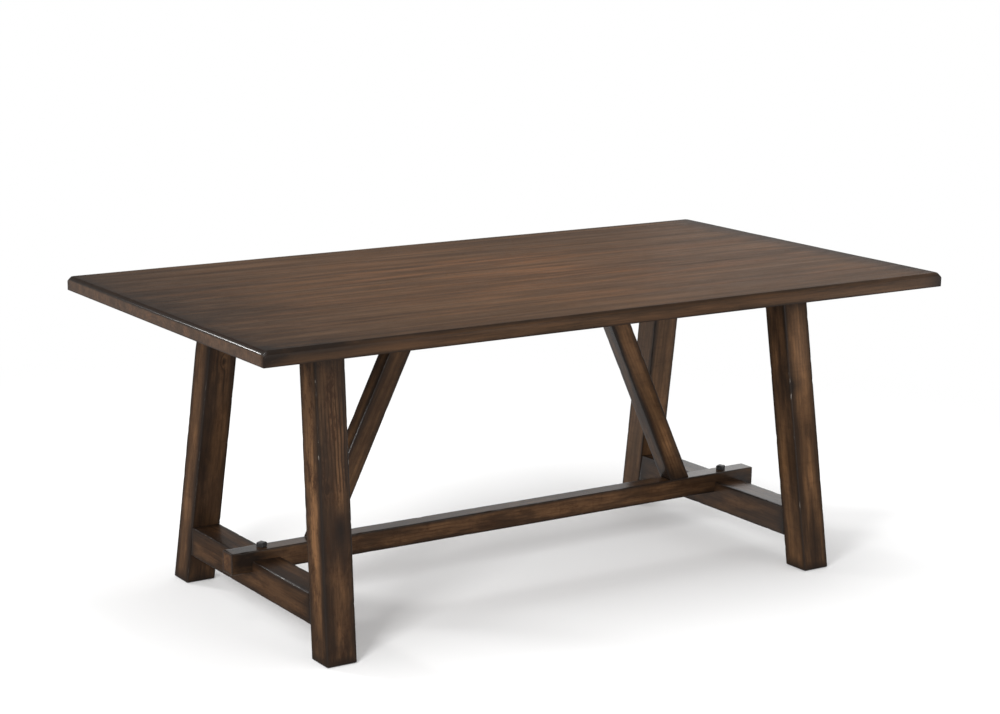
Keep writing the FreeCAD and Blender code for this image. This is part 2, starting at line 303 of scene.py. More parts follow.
topLook = {
    **frameLook,
    "broad": ((0.6, 9.0, 9.0), 3.0),
    "streak": ((1.3, 54.0, 54.0), 5.0, 0.62),
    "thread": ((4.0, 150.0, 150.0), 4.0, 0.6),
    "patch": ((2.8, 34.0, 34.0), 4.0, 0.6),
    "blotch": ((2.6, 26.0, 26.0), 6.0, 0.66),
    "shares": (0.58, 0.24, 0.18),
    "stops": [(0.36, (0.028, 0.0168, 0.0101)), (0.46, (0.051, 0.0294, 0.0171)),
              (0.56, (0.078, 0.045, 0.0256)), (0.68, (0.113, 0.0648, 0.0352))],
    "amber": (0.146, 0.066, 0.03),
    "threadDepth": 0.58,
    "threadColour": (0.039, 0.022, 0.013),
    "chatterDepth": 0.0,
    "fibreDepth": 0.5,
    "endScale": 0.18,
    "endDepth": 0.7,
    "endColour": (0.04, 0.024, 0.016),
    "faceScale": 2.2,
    "rimDepth": 0.0072,
    "rimGain": 2.3,
    "glazeReach": 0.018,
    "roughness": 0.46,
    "ior": 1.045,
    "coat": 0.0,
}

frameTimber = ("stained_frame", stainedTimber("stainedFrame", frameLook))  # slot and material
topTimber = ("stained_top", stainedTimber("stainedTop", topLook))
print("timber finishes made")


# Plain finishes of the fittings, on object coordinates

def fittingFinish(name, dark, light, scale, roughness, metallic):
    material, base, shader = newMaterial(name)
    place = base.node("ShaderNodeTexCoord", {}, {}, out="Object")
    mottle = place.cloud((scale, scale, scale), 5.0, 0.6)
    scuff = place.cloud((scale * 6.0, scale * 0.8, scale * 6.0), 2.0).rise(0.58, 0.75)
    colour = mottle.rise(0.3, 0.7).blend(rgb(*dark), rgb(*light))
    rubbed = rgb(*[channel * 1.5 for channel in light])
    plug(shader, "Base Color", (scuff * 0.35).blend(colour, rubbed))
    sheen = roughness + (mottle - 0.5) * 0.2 + scuff * 0.08
    plug(shader, "Roughness", sheen.high(0.1).low(0.9))
    relief = {"Strength": 0.25, "Distance": 0.0003, "Height": mottle + scuff * 0.5}
    plug(shader, "Normal", base.node("ShaderNodeBump", {}, relief))
    plug(shader, "Metallic", metallic)
    return material


# dark and light colour, scale, roughness and metallic share of each finish, and the nodes that wear it
fittings = {
    "blackSteel": ((0.016, 0.015, 0.015), (0.05, 0.048, 0.048), 260.0, 0.42, 0.5),
    "zincSteel": ((0.42, 0.42, 0.4), (0.6, 0.6, 0.58), 180.0, 0.35, 1.0),
    "insertBrass": ((0.48, 0.34, 0.14), (0.66, 0.49, 0.22), 200.0, 0.32, 1.0),
    "glideNylon": ((0.022, 0.018, 0.015), (0.045, 0.038, 0.032), 150.0, 0.6, 0.0),
    "bareBeech": ((0.38, 0.24, 0.13), (0.52, 0.36, 0.21), 60.0, 0.7, 0.0),
}
fittingNodes = {
    "zincSteel": ["lap_washers", "lap_nuts", "cleat_bolts", "cleat_washers", "brace_foot_screws",
                  "brace_head_screws", "brace_cleat_screws"],
    "insertBrass": ["top_inserts"],
    "glideNylon": ["leg_glides"],
    "bareBeech": ["top_loose_tenons"],
}
finishes = {name: fittingFinish(name, *values) for name, values in fittings.items()}
for name, nodeNames in fittingNodes.items():
    for nodeName in nodeNames:
        nodes[nodeName].data.materials.clear()
        nodes[nodeName].data.materials.append(finishes[name])
print("fittings finished")


# Mesh helpers

timberAngle = 32.0  # edges that turn further than this stay sharp, in degrees
weldDistance = 1e-6


def tidyMesh(mesh, sharpAngle):
    work = bmesh.new()
    work.from_mesh(mesh)
    bmesh.ops.remove_doubles(work, verts=work.verts, dist=weldDistance)
    bmesh.ops.recalc_face_normals(work, faces=work.faces)
    limit = math.radians(sharpAngle)
    for face in work.faces:
        face.smooth = True
    for edge in work.edges:
        edge.smooth = edge.is_manifold and edge.calc_face_angle(0.0) < limit
    work.to_mesh(mesh)
    work.free()


def linkObject(name, data):
    made = bpy.data.objects.new(name, data)
    bpy.context.scene.collection.objects.link(made)
    return made


def linkMesh(name, mesh, sharpAngle):
    tidyMesh(mesh, sharpAngle)
    return linkObject(name, mesh)


def meshObject(name, verts, faces, sharpAngle=timberAngle):
    mesh = bpy.data.meshes.new(name)
    mesh.from_pydata(verts, [], faces)
    mesh.validate()
    return linkMesh(name, mesh, sharpAngle)


def stripFaces(rings, around):
    # quads between rings of points that follow each other
    faces = []
    for ring in range(rings - 1):
        lower = ring * around
        upper = lower + around
        for point in range(around):
            after = (point + 1) % around
            faces.append((lower + point, lower + after, upper + after, upper + point))
    return faces


def blockObject(low, high):
    spans = list(zip(low, high))
    corners = [(x, y, z) for x in spans[0] for y in spans[1] for z in spans[2]]
    faces = [(0, 1, 3, 2), (4, 6, 7, 5), (0, 4, 5, 1), (2, 3, 7, 6), (0, 2, 6, 4), (1, 5, 7, 3)]
    return meshObject("cutter", corners, faces)


def cutAway(piece, cutters):
    for cutter in cutters:
        step = piece.modifiers.new("cut", "BOOLEAN")
        step.object = cutter
        step.operation = "DIFFERENCE"
        step.solver = "EXACT"
    depsgraph = bpy.context.evaluated_depsgraph_get()
    mesh = bpy.data.meshes.new_from_object(piece.evaluated_get(depsgraph))
    piece.modifiers.clear()
    piece.data = mesh
    for cutter in cutters:
        bpy.data.objects.remove(cutter)
    tidyMesh(mesh, timberAngle)


def setVectors(mesh, name, vectors):
    layer = mesh.attributes.new(name, "FLOAT_VECTOR", "POINT")
    layer.data.foreach_set("vector", [value for vector in vectors for value in vector])


def nearness(place, middle, reach):
    # 1 at the middle, falling to nothing beyond the reach
    return math.exp(-sum(((place[axis] - middle[axis]) / reach[axis]) ** 2 for axis in range(3)))


def placedShare(place, marks):
    # how much a place has of the marks in a list, each (strength, middle, reach)
    return sum(strength * nearness(place, middle, reach) for strength, middle, reach in marks)


def polishShare(place, normal, polish, sharpness):
    # each polished face is (facing, strength, middle, reach)
    share = 0.0
    for facing, strength, middle, reach in polish:
        facingShare = max(0.0, normal.dot(Vector(facing).normalized())) ** sharpness
        share += strength * facingShare * nearness(place, middle, reach)
    return share


markKinds = ("dark", "warm", "knot", "ring", "tone", "glaze")  # marks given one by one, a few of them painted shade and painted sheen
toFront = (0, -1, 0)
toLeft = (-1, 0, 0)
toSky = (0, 0, 1)
allOver = ((0.0, 0.0, 0.0), (9.0, 9.0, 9.0))  # a middle and reach that cover a whole piece
evenShine = [(1.0, *allOver)]
shineSharpness = {"polish": 6, "glints": 120}  # how closely a face has to look the named way
seamTouch = 1e-5  # what lies this close to a seam is on it


def faceShine(place, normal, spec):
    # polish of the face and of the arrises at a place; the vector's third part is spare
    facing = normal.copy()
    if any(abs(place.y - seam) < seamTouch for seam in spec.get("seams", ())):
        # the hidden wall of a seam has no say in the polish
        facing.y = 0.0
        facing.normalize()
    polish = 0.0
    for kind, sharpness in shineSharpness.items():
        polish += polishShare(place, facing, spec.get(kind, ()), sharpness)
    return max(0.0, polish), placedShare(place, spec.get("edgeShine", evenShine)), 0.0


def layGrain(piece, origin, axes, half, spec):
    # writes the seven vectors that the timber finish reads
    mesh = piece.data
    turn = Matrix(axes).transposed().inverted()
    grain = [turn @ (vertex.co - origin) for vertex in mesh.vertices]
    marks = {}
    for kind in markKinds:
        marks[kind] = [placedShare(place, spec.get(kind, ())) for place in grain]
    tone, lines, warmth = spec["mood"]
    wear, glazeWidth, mottle = spec["finish"]
    moods = [(tone + more, lines + rings, warmth) for more, rings in zip(marks["tone"], marks["ring"])]
    shines = [faceShine(place, vertex.normal, spec) for vertex, place in zip(mesh.vertices, grain)]
    setVectors(mesh, "marks", zip(marks["dark"], marks["warm"], marks["knot"]))
    setVectors(mesh, "mood", moods)
    setVectors(mesh, "shine", shines)
    setVectors(mesh, "finish", [(wear, glazeWidth + more, mottle) for more in marks["glaze"]])
    setVectors(mesh, "grain", grain)
    setVectors(mesh, "figure", [place + Vector(spec["heart"]) for place in grain])
    setVectors(mesh, "half", [half] * len(grain))


def dress(piece, node, slot, material):
    piece.data.materials.clear()
    piece.data.materials.append(material)
    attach(piece, "root")
    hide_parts(node)


def waver(place, scale):
    # steady noise between 0 and 1
    return 0.5 + 0.5 * noise.noise(place * scale)


# Sawn timber with worn arrises: a rounded section carried from one end plane to the other

barWear = {
    "arris": 0.003,
    "arrisSwing": 0.45,
    "swingScale": 5.0,
    "step": 0.005,
    "arcSteps": 5,
    "flatSteps": 9,
    "leastArris": 0.0012,
    "endEase": 0.0018,
    "endMargin": 0.94,
    "waviness": 0.00035,
    "waveScale": 16.0,
    "waveStretch": 0.35,
    "nickSpacing": 0.11,
    "nickLength": (0.003, 0.011),
    "nickDepth": (0.0006, 0.0024),
}


def barStations(length, ease, step):
    # distances along the bar, with how far the section draws in at the eased ends
    turns = [math.radians(angle) for angle in (0, 30, 60, 90)]
    head = [(ease * (1 - math.cos(turn)), ease * (1 - math.sin(turn))) for turn in turns]
    count = max(2, round((length - 2 * ease) / step))
    body = [(ease + (length - 2 * ease) * number / count, 0.0) for number in range(1, count)]
    tail = [(length - distance, inset) for distance, inset in reversed(head)]
    return head + body + tail


def barLoop(width, height, radii, inset, wear):
    # points of the section with the outward direction at each
    points = []
    halfWide = width / 2 - inset
    halfHigh = height / 2 - inset
    corners = [(1, -1), (1, 1), (-1, 1), (-1, -1)]
    arcs = []
    for number, (sideA, sideB) in enumerate(corners):
        radius = radii[number]
        centre = (sideA * (halfWide - radius), sideB * (halfHigh - radius))
        arc = []
        for step in range(wear["arcSteps"] + 1):
            turn = math.radians(90 * (number - 1 + step / wear["arcSteps"]))
            outward = (math.cos(turn), math.sin(turn))
            arc.append((centre[0] + radius * outward[0], centre[1] + radius * outward[1], outward))
        arcs.append(arc)
    for number, arc in enumerate(arcs):
        points += arc
        following = arcs[(number + 1) % 4][0]
        for step in range(1, wear["flatSteps"]):
            share = step / wear["flatSteps"]
            a = arc[-1][0] + (following[0] - arc[-1][0]) * share
            b = arc[-1][1] + (following[1] - arc[-1][1]) * share
            points.append((a, b, following[2]))
    return points


def buildBar(name, start, end, width, height, seed, wear=barWear):
    rng = random.Random(seed)
    length = (end[0] - start[0]).length
    drift = Vector([rng.uniform(0, 50) for axis in range(3)])
    nickRanges = ((0, length), wear["nickLength"], wear["nickDepth"])
    nickCount = round(length / wear["nickSpacing"])
    nicks = []
    for corner in range(4):
        nicks.append([[rng.uniform(*ends) for ends in nickRanges] for number in range(nickCount)])
    verts = []
    stations = barStations(length, wear["endEase"], wear["step"])
    for distance, inset in stations:
        share = distance / length
        origin, right, up = [a.lerp(b, share) for a, b in zip(start, end)]
        radii = []
        for corner in range(4):
            apart = corner * 7.3  # keeps the noises of the corners apart
            swing = noise.noise(Vector((distance * wear["swingScale"], apart, 0.0)) + drift)
            radius = wear["arris"] * (1 + wear["arrisSwing"] * swing)
            for place, size, depth in nicks[corner]:
                radius += depth * math.exp(-((distance - place) / size) ** 2)
            radii.append(max(wear["leastArris"], radius))
        for a, b, outward in barLoop(width, height, radii, inset, wear):
            place = Vector((distance * wear["waveStretch"], a, b)) + drift
            sink = wear["waviness"] * waver(place, wear["waveScale"])
            verts.append(origin + right * (a - outward[0] * sink) + up * (b - outward[1] * sink))
    around = len(verts) // len(stations)
    faces = stripFaces(len(stations), around)
    # each end has a narrow flat margin and then one face
    for ring, plane in ((0, start), (len(stations) - 1, end)):
        rim = range(ring * around, (ring + 1) * around)
        first = len(verts)
        verts += [plane[0] + (verts[index] - plane[0]) * wear["endMargin"] for index in rim]
        for point in range(around):
            after = (point + 1) % around
            faces.append((rim[point], rim[after], first + after, first + point))
        faces.append(tuple(range(first, first + around)))
    return meshObject(name, verts, faces)


# Sizes read from the frame
def nodeBox(node):
    low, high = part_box(node)
    return Vector(low), Vector(high)


slabLow = nodeBox("top_board_1")[0]
slabHigh = nodeBox("top_board_7")[1]
cleatLow = nodeBox("trestle_cleat_right")[0]
braceCleatLow, braceCleatHigh = nodeBox("brace_cleat_right")
acrossAxis = Vector((0, 1, 0))
alongAxis = Vector((1, 0, 0))
upAxis = Vector((0, 0, 1))
tableAxes = (alongAxis, acrossAxis, upAxis)
crossAxes = (acrossAxis, alongAxis, upAxis)

def buildPost(name, label, foot, head, size, spec):
    # a slanting timber with level ends, dressed as the named node
    ends = [(point, alongAxis, acrossAxis) for point in (foot, head)]
    post = buildBar(label, *ends, *size, spec["seed"])
    axis = (head - foot).normalized()
    half = ((head - foot).length / 2, size[0] / 2, size[1] / 2)
    layGrain(post, (foot + head) / 2, (axis, alongAxis, acrossAxis), half, spec)
    dress(post, name, *frameTimber)


# Legs. A mark's middle is measured from the middle of its piece, along, across and through it
legSize = (0.077, 0.072)
legLeft = -legSize[0] / 2
legFront = -legSize[1] / 2


def onFront(strength, along, across, reachAlong, reachAcross, reachIn=0.01):
    # a mark on the front face of a leg
    return (strength, (along, across, legFront), (reachAlong, reachAcross, reachIn))


legs = {
    "leg_front_left": {
        "side": (-1, -1), "seed": 100,
        "heart": (3.1, 0.062, 0.03),
        "mood": (-0.08, 0.25, 0.22),
        "finish": (0.6, 1.1, 1.15),
        "polish": [(toFront, 0.05, *allOver)],
        "dark": [onFront(0.75, 0.13, -0.024, 0.09, 0.012),
                 onFront(1.0, -0.045, 0.01, 0.04, 0.016),
                 onFront(0.7, -0.08, -0.014, 0.05, 0.012),
                 onFront(0.6, -0.12, 0.022, 0.045, 0.014),
                 onFront(0.5, -0.23, -0.024, 0.06, 0.014),
                 (0.7, (-0.31, 0, 0), (0.055, 0.08, 0.08))],
        "warm": [onFront(1.2, 0.03, 0.014, 0.045, 0.014),
                 onFront(0.15, -0.19, 0.008, 0.07, 0.022),
                 onFront(0.3, -0.27, -0.006, 0.03, 0.02),
                 (0.9, (0.02, legLeft, -0.006), (0.3, 0.02, 0.016))],
        "knot": [onFront(1.2, 0.05, -0.02, 0.018, 0.008, 0.02)],
        "ring": [onFront(3.2, 0.15, 0.004, 0.095, 0.06, 0.03)],
        "tone": [onFront(0.09, 0.23, 0, 0.12, 0.06),
                 (0.12, (0.23, legLeft, 0), (0.16, 0.01, 0.06)),
                 onFront(-0.1, 0, 0, 0.09, 0.06),
                 onFront(-0.08, -0.17, 0, 0.19, 0.06)],
    },
    "leg_front_right": {
        "side": (1, -1), "seed": 101,
        "heart": (8.7, -0.075, 0.06),
        "mood": (0, 0.25, 0.4),
        "finish": (1.6, 1.0, 0.3),
        "polish": [(toFront, 0.07, *allOver),
                   (toFront, 0.28, (0.225, 0.004, legFront), (0.11, 0.03, 0.02)),
                   (toLeft, 0.12, (-0.25, legLeft, 0), (0.18, 0.02, 0.06))],
        "dark": [onFront(0.35, 0.13, -0.006, 0.018, 0.03),
                 onFront(0.9, 0.1, -0.034, 0.3, 0.014, 0.03),
                 onFront(0.3, -0.2, 0.016, 0.06, 0.02),
                 onFront(0.5, 0.01, 0.014, 0.03, 0.018),
                 (0.5, (0.13, legLeft, 0.004), (0.045, 0.01, 0.03)),
                 (0.4, (-0.18, legLeft, -0.012), (0.14, 0.01, 0.014)),
                 onFront(0.6, -0.29, 0, 0.07, 0.05, 0.02)],
        # the first warm patch, high on the front, is partly stain and partly painted sheen
        "warm": [onFront(1.3, 0.225, 0.004, 0.09, 0.024),
                 onFront(0.9, 0.07, 0.002, 0.06, 0.02),
                 onFront(0.5, -0.11, 0, 0.08, 0.02)],
        # painted sheen: a lighter tone high on the front face
        "tone": [onFront(0.15, 0.22, 0.004, 0.12, 0.032)],
    },
    "leg_back_left": {
        "side": (-1, 1), "seed": 102,
        "heart": (14.2, 0.06, -0.08),
        "mood": (-0.07, 0.25, 0.2),
        "finish": (0.08, 1.0, 0.55),
        "polish": [(toFront, 0.06, *allOver)],
        "dark": [onFront(0.75, -0.02, -0.022, 0.28, 0.016),
                 onFront(0.35, 0, 0.01, 0.3, 0.03)],
        "warm": [(0.5, (0, legLeft, 0), (0.33, 0.02, 0.02))],
        "knot": [onFront(0.9, 0.23, 0.004, 0.018, 0.01, 0.02)],
        "ring": [onFront(1.0, 0.2, 0, 0.08, 0.06, 0.03)],
    },
    "leg_back_right": {
        "side": (1, 1), "seed": 103,
        "heart": (19.9, -0.05, 0.09),
        # the lighter tone partly makes up for the shade this leg stands in: painted light
        "mood": (0.1, 0.25, 0.2),
        "finish": (0.2, 0.8, 0.35),
        "polish": [(toLeft, 0.3, *allOver), (toFront, 0.24, *allOver)],
        "dark": [(0.4, (0, legLeft, 0), (0.4, 0.014, 0.04))],
        "warm": [onFront(0.8, -0.06, 0.01, 0.06, 0.025, 0.02)],
    },
}


def legLine(side, node):
    # middle of the leg at its foot and at its head, from the corners of its box
    low, high = nodeBox(node)
    foot = []
    head = []
    for axis in (0, 1):
        inner, outer = sorted((abs(low[axis]), abs(high[axis])))
        foot.append(side[axis] * (outer - legSize[axis] / 2))
        head.append(side[axis] * (inner + legSize[axis] / 2))
    return Vector((*foot, low.z)), Vector((*head, cleatLow.z))


for name, spec in legs.items():
    foot, head = legLine(spec["side"], name)
    buildPost(name, name.replace("leg", "timberLeg"), foot, head, legSize, spec)
print("legs built")

# Long stretcher, notched underneath where it laps the end stretchers
longStretcher = {
    "lapSeat": 0.016,
    "fit": 0.00015,
    "cutPast": 0.01,
    "seed": 200,
    "heart": (25.0, 0.04, 0.07),
    "mood": (-0.04, 0.35, 0.32),
    "finish": (0.1, 0.5, 0.6),
    "polish": [(toSky, 0.44, *allOver), (toFront, 0.07, *allOver),
               (toFront, 0.3, (0.745, -0.0235, 0), (0.06, 0.05, 0.05))],
    "dark": [(1.25, (-0.74, 0, 0), (0.07, 0.08, 0.08)),
             # dark glaze at the right lap, made stronger to hide light bounced off the end stretcher:
             # partly painted shade
             (0.9, (0.735, 0, 0), (0.075, 0.08, 0.06)),
             (0.8, (0.808, 0, 0), (0.01, 0.08, 0.06)),
             # painted shadow low on the front face beside the right lap
             (0.6, (0.735, -0.0235, -0.02), (0.05, 0.02, 0.02)),
             (0.85, (-0.537, 0, 0.026), (0.055, 0.08, 0.012)),
             (0.85, (0.537, 0, 0.026), (0.055, 0.08, 0.012))],
    "warm": [(0.8, (-0.812, -0.01, 0), (0.004, 0.022, 0.03))],
}
longLow, longHigh = nodeBox("long_stretcher")
endLow, endHigh = nodeBox("end_stretcher_right")
lapLevel = endHigh.z - longStretcher["lapSeat"]
longSize = longHigh - longLow
longMiddle = (longLow + longHigh) / 2
longReach = alongAxis * longSize.x / 2
beamEnds = [(longMiddle + longReach * side, acrossAxis, upAxis) for side in (-1, 1)]
beam = buildBar("timberLongStretcher", *beamEnds, longSize.y, longSize.z, longStretcher["seed"])
fit = longStretcher["fit"]
past = longStretcher["cutPast"]
notches = []
for side in (-1, 1):
    left, right = sorted((side * (endLow.x - fit), side * (endHigh.x + fit)))
    low = (left, longLow.y - past, longLow.z - past)
    high = (right, longHigh.y + past, lapLevel)
    notches.append(blockObject(low, high))
cutAway(beam, notches)
layGrain(beam, longMiddle, tableAxes, longSize / 2, longStretcher)
dress(beam, "long_stretcher", *frameTimber)

# End stretchers: shoulders follow the lean of the legs, and a seat takes the long stretcher
endStretchers = {
    "end_stretcher_left": {
        "seed": 300,
        "heart": (31.0, 0.055, 0.06),
        "mood": (-0.11, 0.3, 0.25),
        "finish": (0.3, 0.9, 0.45),
        "edgeShine": [(0.6, *allOver), (5.0, (-0.16, -0.037, 0.037), (0.12, 0.03, 0.03))],
        "polish": [(toSky, 0.04, *allOver)],
        "dark": [(0.9, (0, 0, 0.037), (0.055, 0.08, 0.03))],
        "warm": [(0.4, (-0.12, -0.037, 0.006), (0.07, 0.01, 0.024))],
        "tone": [(0.05, (-0.15, -0.037, 0), (0.15, 0.01, 0.06))],
    },
    "end_stretcher_right": {
        "seed": 301,
        "heart": (37.5, -0.045, 0.08),
        "mood": (-0.08, 0.3, 0.3),
        "finish": (0.12, 0.9, 0.45),
        "polish": [(toSky, 0.32, *allOver), (toLeft, 0.46, *allOver)],
        "dark": [(0.9, (0, 0, 0.037), (0.055, 0.08, 0.03))],
    },
}
footPoint, headPoint = legLine((1, 1), "leg_back_right")
legLean = (headPoint.y - footPoint.y) / (headPoint.z - footPoint.z)
seatReach = longSize.y / 2 + fit
for name, spec in endStretchers.items():
    low, high = nodeBox(name)
    size = high - low
    middle = (low + high) / 2
    shoulder = footPoint.y + legLean * (middle.z - footPoint.z) - legSize[1] / 2
    ends = [(Vector((middle.x, side * shoulder, middle.z)), alongAxis, Vector((0, side * legLean, 1)))
            for side in (-1, 1)]
    label = name.replace("end_stretcher", "timberEndStretcher")
    rail = buildBar(label, *ends, size.x, size.z, spec["seed"])
    seatLow = (low.x - past, -seatReach, lapLevel)
    seatHigh = (high.x + past, seatReach, high.z + past)
    cutAway(rail, [blockObject(seatLow, seatHigh)])
    layGrain(rail, middle, crossAxes, (shoulder, size.x / 2, size.z / 2), spec)
    dress(rail, name, *frameTimber)
print("stretchers built")

# Braces, cut level on the long stretcher and under the brace cleats
braces = {
    "brace_left": {
        "side": -1, "seed": 400,
        "heart": (43.0, 0.04, 0.075),
        "mood": (-0.03, 0.3, 0.3),
        "finish": (0.1, 1.0, 0.45),
        "edgeShine": [(4.0, *allOver)],
        "polish": [(toFront, 0.11, *allOver)],
        "dark": [(1.1, (-0.285, 0, 0), (0.055, 0.08, 0.08))],
    },
    "brace_right": {
        "side": 1, "seed": 401,
        "heart": (49.0, -0.06, 0.05),
        "mood": (0.04, 0.3, 0.55),
        "finish": (0.1, 1.0, 0.4),
        "polish": [((-0.9, 0, -0.435), 0.5, *allOver), (toFront, 0.16, *allOver)],
        "dark": [(1.1, (-0.285, 0, 0), (0.045, 0.08, 0.08))],
        "warm": [(0.8, (-0.18, 0.006, -0.022), (0.07, 0.02, 0.02))],
        "tone": [(-0.22, (0, -0.034, 0), (0.6, 0.014, 0.08))],
    },
}
headX = (braceCleatLow.x + braceCleatHigh.x) / 2
for name, spec in braces.items():
    low, high = nodeBox(name)
    side = spec["side"]
    inner, outer = sorted((abs(low.x), abs(high.x)))
    wide = 2 * (headX - inner)
    foot = Vector((side * (outer - wide / 2), 0, longHigh.z))
    head = Vector((side * headX, 0, braceCleatLow.z))
    buildPost(name, name.replace("brace", "timberBrace"), foot, head, (wide, high.y - low.y), spec)
print("braces built")

# Cleats under the top: the trestle cleats have bevelled ends
cleats = {
    "bevel": 0.022,
    "ease": 0.0025,
    "easeSteps": 3,
    "sharpAngle": 35.0,
    "mood": (-0.04, 0.3, 0.3),
    "finish": (0.1, 0.8, 0.45),
    "hearts": {
        "trestle_cleat_left": (55.0, 0.04, 0.08),
        "brace_cleat_left": (66.0, 0.05, 0.06),
        "trestle_cleat_right": (60.0, 0.04, 0.08),
        "brace_cleat_right": (71.0, 0.05, 0.06),
    },
}


def buildPrism(name, outline, run, spec):
    # an outline carried along a run, every edge eased
    work = bmesh.new()
    first = [work.verts.new(point) for point in outline]
    second = [work.verts.new(point + run) for point in outline]
    work.faces.new(first)
    work.faces.new(second)
    for number in range(len(outline)):
        after = (number + 1) % len(outline)
        work.faces.new((first[number], first[after], second[after], second[number]))
    bmesh.ops.recalc_face_normals(work, faces=work.faces)
    easing = {"offset": spec["ease"], "segments": spec["easeSteps"], "profile": 0.5}
    bmesh.ops.bevel(work, geom=work.edges[:], affect="EDGES", **easing)
    mesh = bpy.data.meshes.new(name)
    work.to_mesh(mesh)
    work.free()
    return linkMesh(name, mesh, spec["sharpAngle"])


for name, heart in cleats["hearts"].items():
    low, high = nodeBox(name)
    size = high - low
    if name.startswith("trestle"):
        label = name.replace("trestle_cleat", "timberCleat")
        bevel = cleats["bevel"]
        profile = [(low.y, high.z), (high.y, high.z), (high.y, low.z + bevel), (high.y - bevel, low.z)]
        profile += [(low.y + bevel, low.z), (low.y, low.z + bevel)]
        axes = crossAxes
    else:
        label = name.replace("brace_cleat", "timberBraceCleat")
        profile = [(low.y, low.z), (high.y, low.z), (high.y, high.z), (low.y, high.z)]
        axes = tableAxes
    half = [size.dot(axis) / 2 for axis in axes]
    outline = [Vector((low.x, y, z)) for y, z in profile]
    cleat = buildPrism(label, outline, alongAxis * (high.x - low.x), cleats)
    layGrain(cleat, (low + high) / 2, axes, half, {**cleats, "heart": heart})
    dress(cleat, name, *frameTimber)
print("cleats built")

# Top boards: one slab in boards, upper edge bevelled and worn, corners dubbed, seams kept tight
top = {
    "bevel": 0.007,
    "bevelSwing": 0.28,
    "profile": [(0, 1.22), (0.02, 1.08), (0.1, 0.93), (0.3, 0.7), (0.5, 0.5), (0.7, 0.3),
                (0.93, 0.1), (1.08, 0.02), (1.22, 0)],
    "flatMargin": 1.9,
    "cornerDrop": 0.0045,
    "cornerReach": 0.016,
    "cornerPower": 1.5,
    "sharpAngle": 38.0,
    "underEase": 0.0014,
    "step": (0.012, 0.01),
    "wallWear": 0.0011,
    "wearScale": 3.0,
    "endEdge": 3,  # this and the next tell the edges apart in the wear
    "sideEdge": 6,
    "waviness": 0.00022,
    "waveScale": 7.0,
    "waveStretch": (0.5, 2.2),
    "seamDip": 0.00018,
    "seamReach": 0.003,
    "hearts": [(70.3, 0.02, 0.11), (77.1, -0.03, 0.09), (83.9, 0.035, 0.13), (91.2, -0.015, 0.1),
               (97.8, 0.028, 0.12), (104.4, -0.04, 0.095), (111.7, 0.01, 0.115)],
    "moods": [(0, 0.3, 0.15), (0.02, 0.25, 0.3), (-0.02, 0.3, 0.4), (0.02, 0.25, 0.35),
              (-0.02, 0.3, 0.4), (0.02, 0.25, 0.25), (-0.01, 0.3, 0.15)],
    "finish": (0, 1.0, 0.25),
    "edgeShine": [],
    "glints": [((-0.82, -0.01, 0.57), 0.55, (-0.95, -0.38, 0.01), (0.02, 0.32, 0.02))],
    "polish": [(toSky, 0.01, (1.0, 0.2, 0.0175), (1.0, 1.5, 0.05)),
               ((-0.5, -0.5, 0.7), 1.2, (-0.9485, -0.496, 0.0115), (0.005, 0.005, 0.008)),
               (toLeft, 0.26, *allOver),
               (toLeft, -0.26, (-0.952, -0.5, 0), (0.02, 0.012, 0.05)),
               (toFront, 0.1, *allOver),
               (toFront, 0.34, (1.0, -0.5, 0), (0.55, 0.1, 0.05)),
               ((0, -0.7, 0.7), 0.12, (1.0, -0.5, 0.0175), (0.55, 0.03, 0.02))],
    # the first dark mark is painted shade: the left end of the top darkened where its sheen is weaker,
    # over the glaze there
    "dark": [(0.74, (-0.98, 0, 0.018), (0.36, 0.9, 0.03)),
             (0.8, (-0.945, -0.5, 0), (0.045, 0.05, 0.03)),
             (0.16, (-0.95, 0, 0.0175), (0.06, 0.9, 0.01)),
             (0.28, (-0.92, -0.47, 0.0175), (0.14, 0.045, 0.02)),
             (0.45, (-0.8, -0.5, 0.012), (0.12, 0.03, 0.012)),
             (0.3, (-0.5, -0.5, 0.014), (0.2, 0.03, 0.01)),
             (0.65, (-0.35, -0.4925, 0.0172), (0.45, 0.0035, 0.0035)),
             (0.8, (0.45, -0.4925, 0.0172), (0.6, 0.003, 0.003))],
    "warm": [(0.4, (0.05, 0, 0.018), (0.35, 0.3, 0.03))],
    "tone": [(-0.12, (-0.2, -0.5, 0), (0.5, 0.02, 0.02)),
             (-0.1, (-0.9525, 0, -0.0175), (0.02, 0.9, 0.008)),
             (-0.07, (0.75, -0.5, 0), (0.5, 0.02, 0.015)),
             (-0.12, (0.72, -0.4965, 0.014), (0.55, 0.006, 0.006)),
             (-0.02, (-0.2, 0.42, 0.0175), (0.6, 0.15, 0.015))],
    "glaze": [(-0.5, (0.85, -0.5, 0.01), (0.75, 0.05, 0.03))],
}
slabMiddle = (slabLow + slabHigh) / 2
slabHalf = (slabHigh - slabLow) / 2


def edgeWear(place, edge):
    # how far the wall is worn back, and the size of the bevel, at a place along an edge
    apart = edge * 11.7  # keeps the noises of the edges apart
    drift = Vector((place * top["wearScale"], apart, 2.5))
    back = top["wallWear"] * (0.9 * waver(drift, 1.0) + 0.1 * waver(drift, 5.0))
    swing = 0.8 * noise.noise(drift * 1.7) + 0.1 * noise.noise(drift * 4.0)
    return back, top["bevel"] * (1 + top["bevelSwing"] * swing)


def spacedLine(low, high, step, lowEdge, highEdge):
    # marks along a line: (side, shares of the bevel) at a worn edge, or (0, place) between
    margin = top["bevel"] * top["flatMargin"]
    start = low + (margin if lowEdge else 0)
    finish = high - (margin if highEdge else 0)
    count = max(1, round((finish - start) / step))
    flats = [(0, start + (finish - start) * number / count) for number in range(count + 1)]
    head = [(-1, shares) for shares in top["profile"]] if lowEdge else []
    tail = [(1, shares) for shares in reversed(top["profile"])] if highEdge else []
    return head + flats + tail


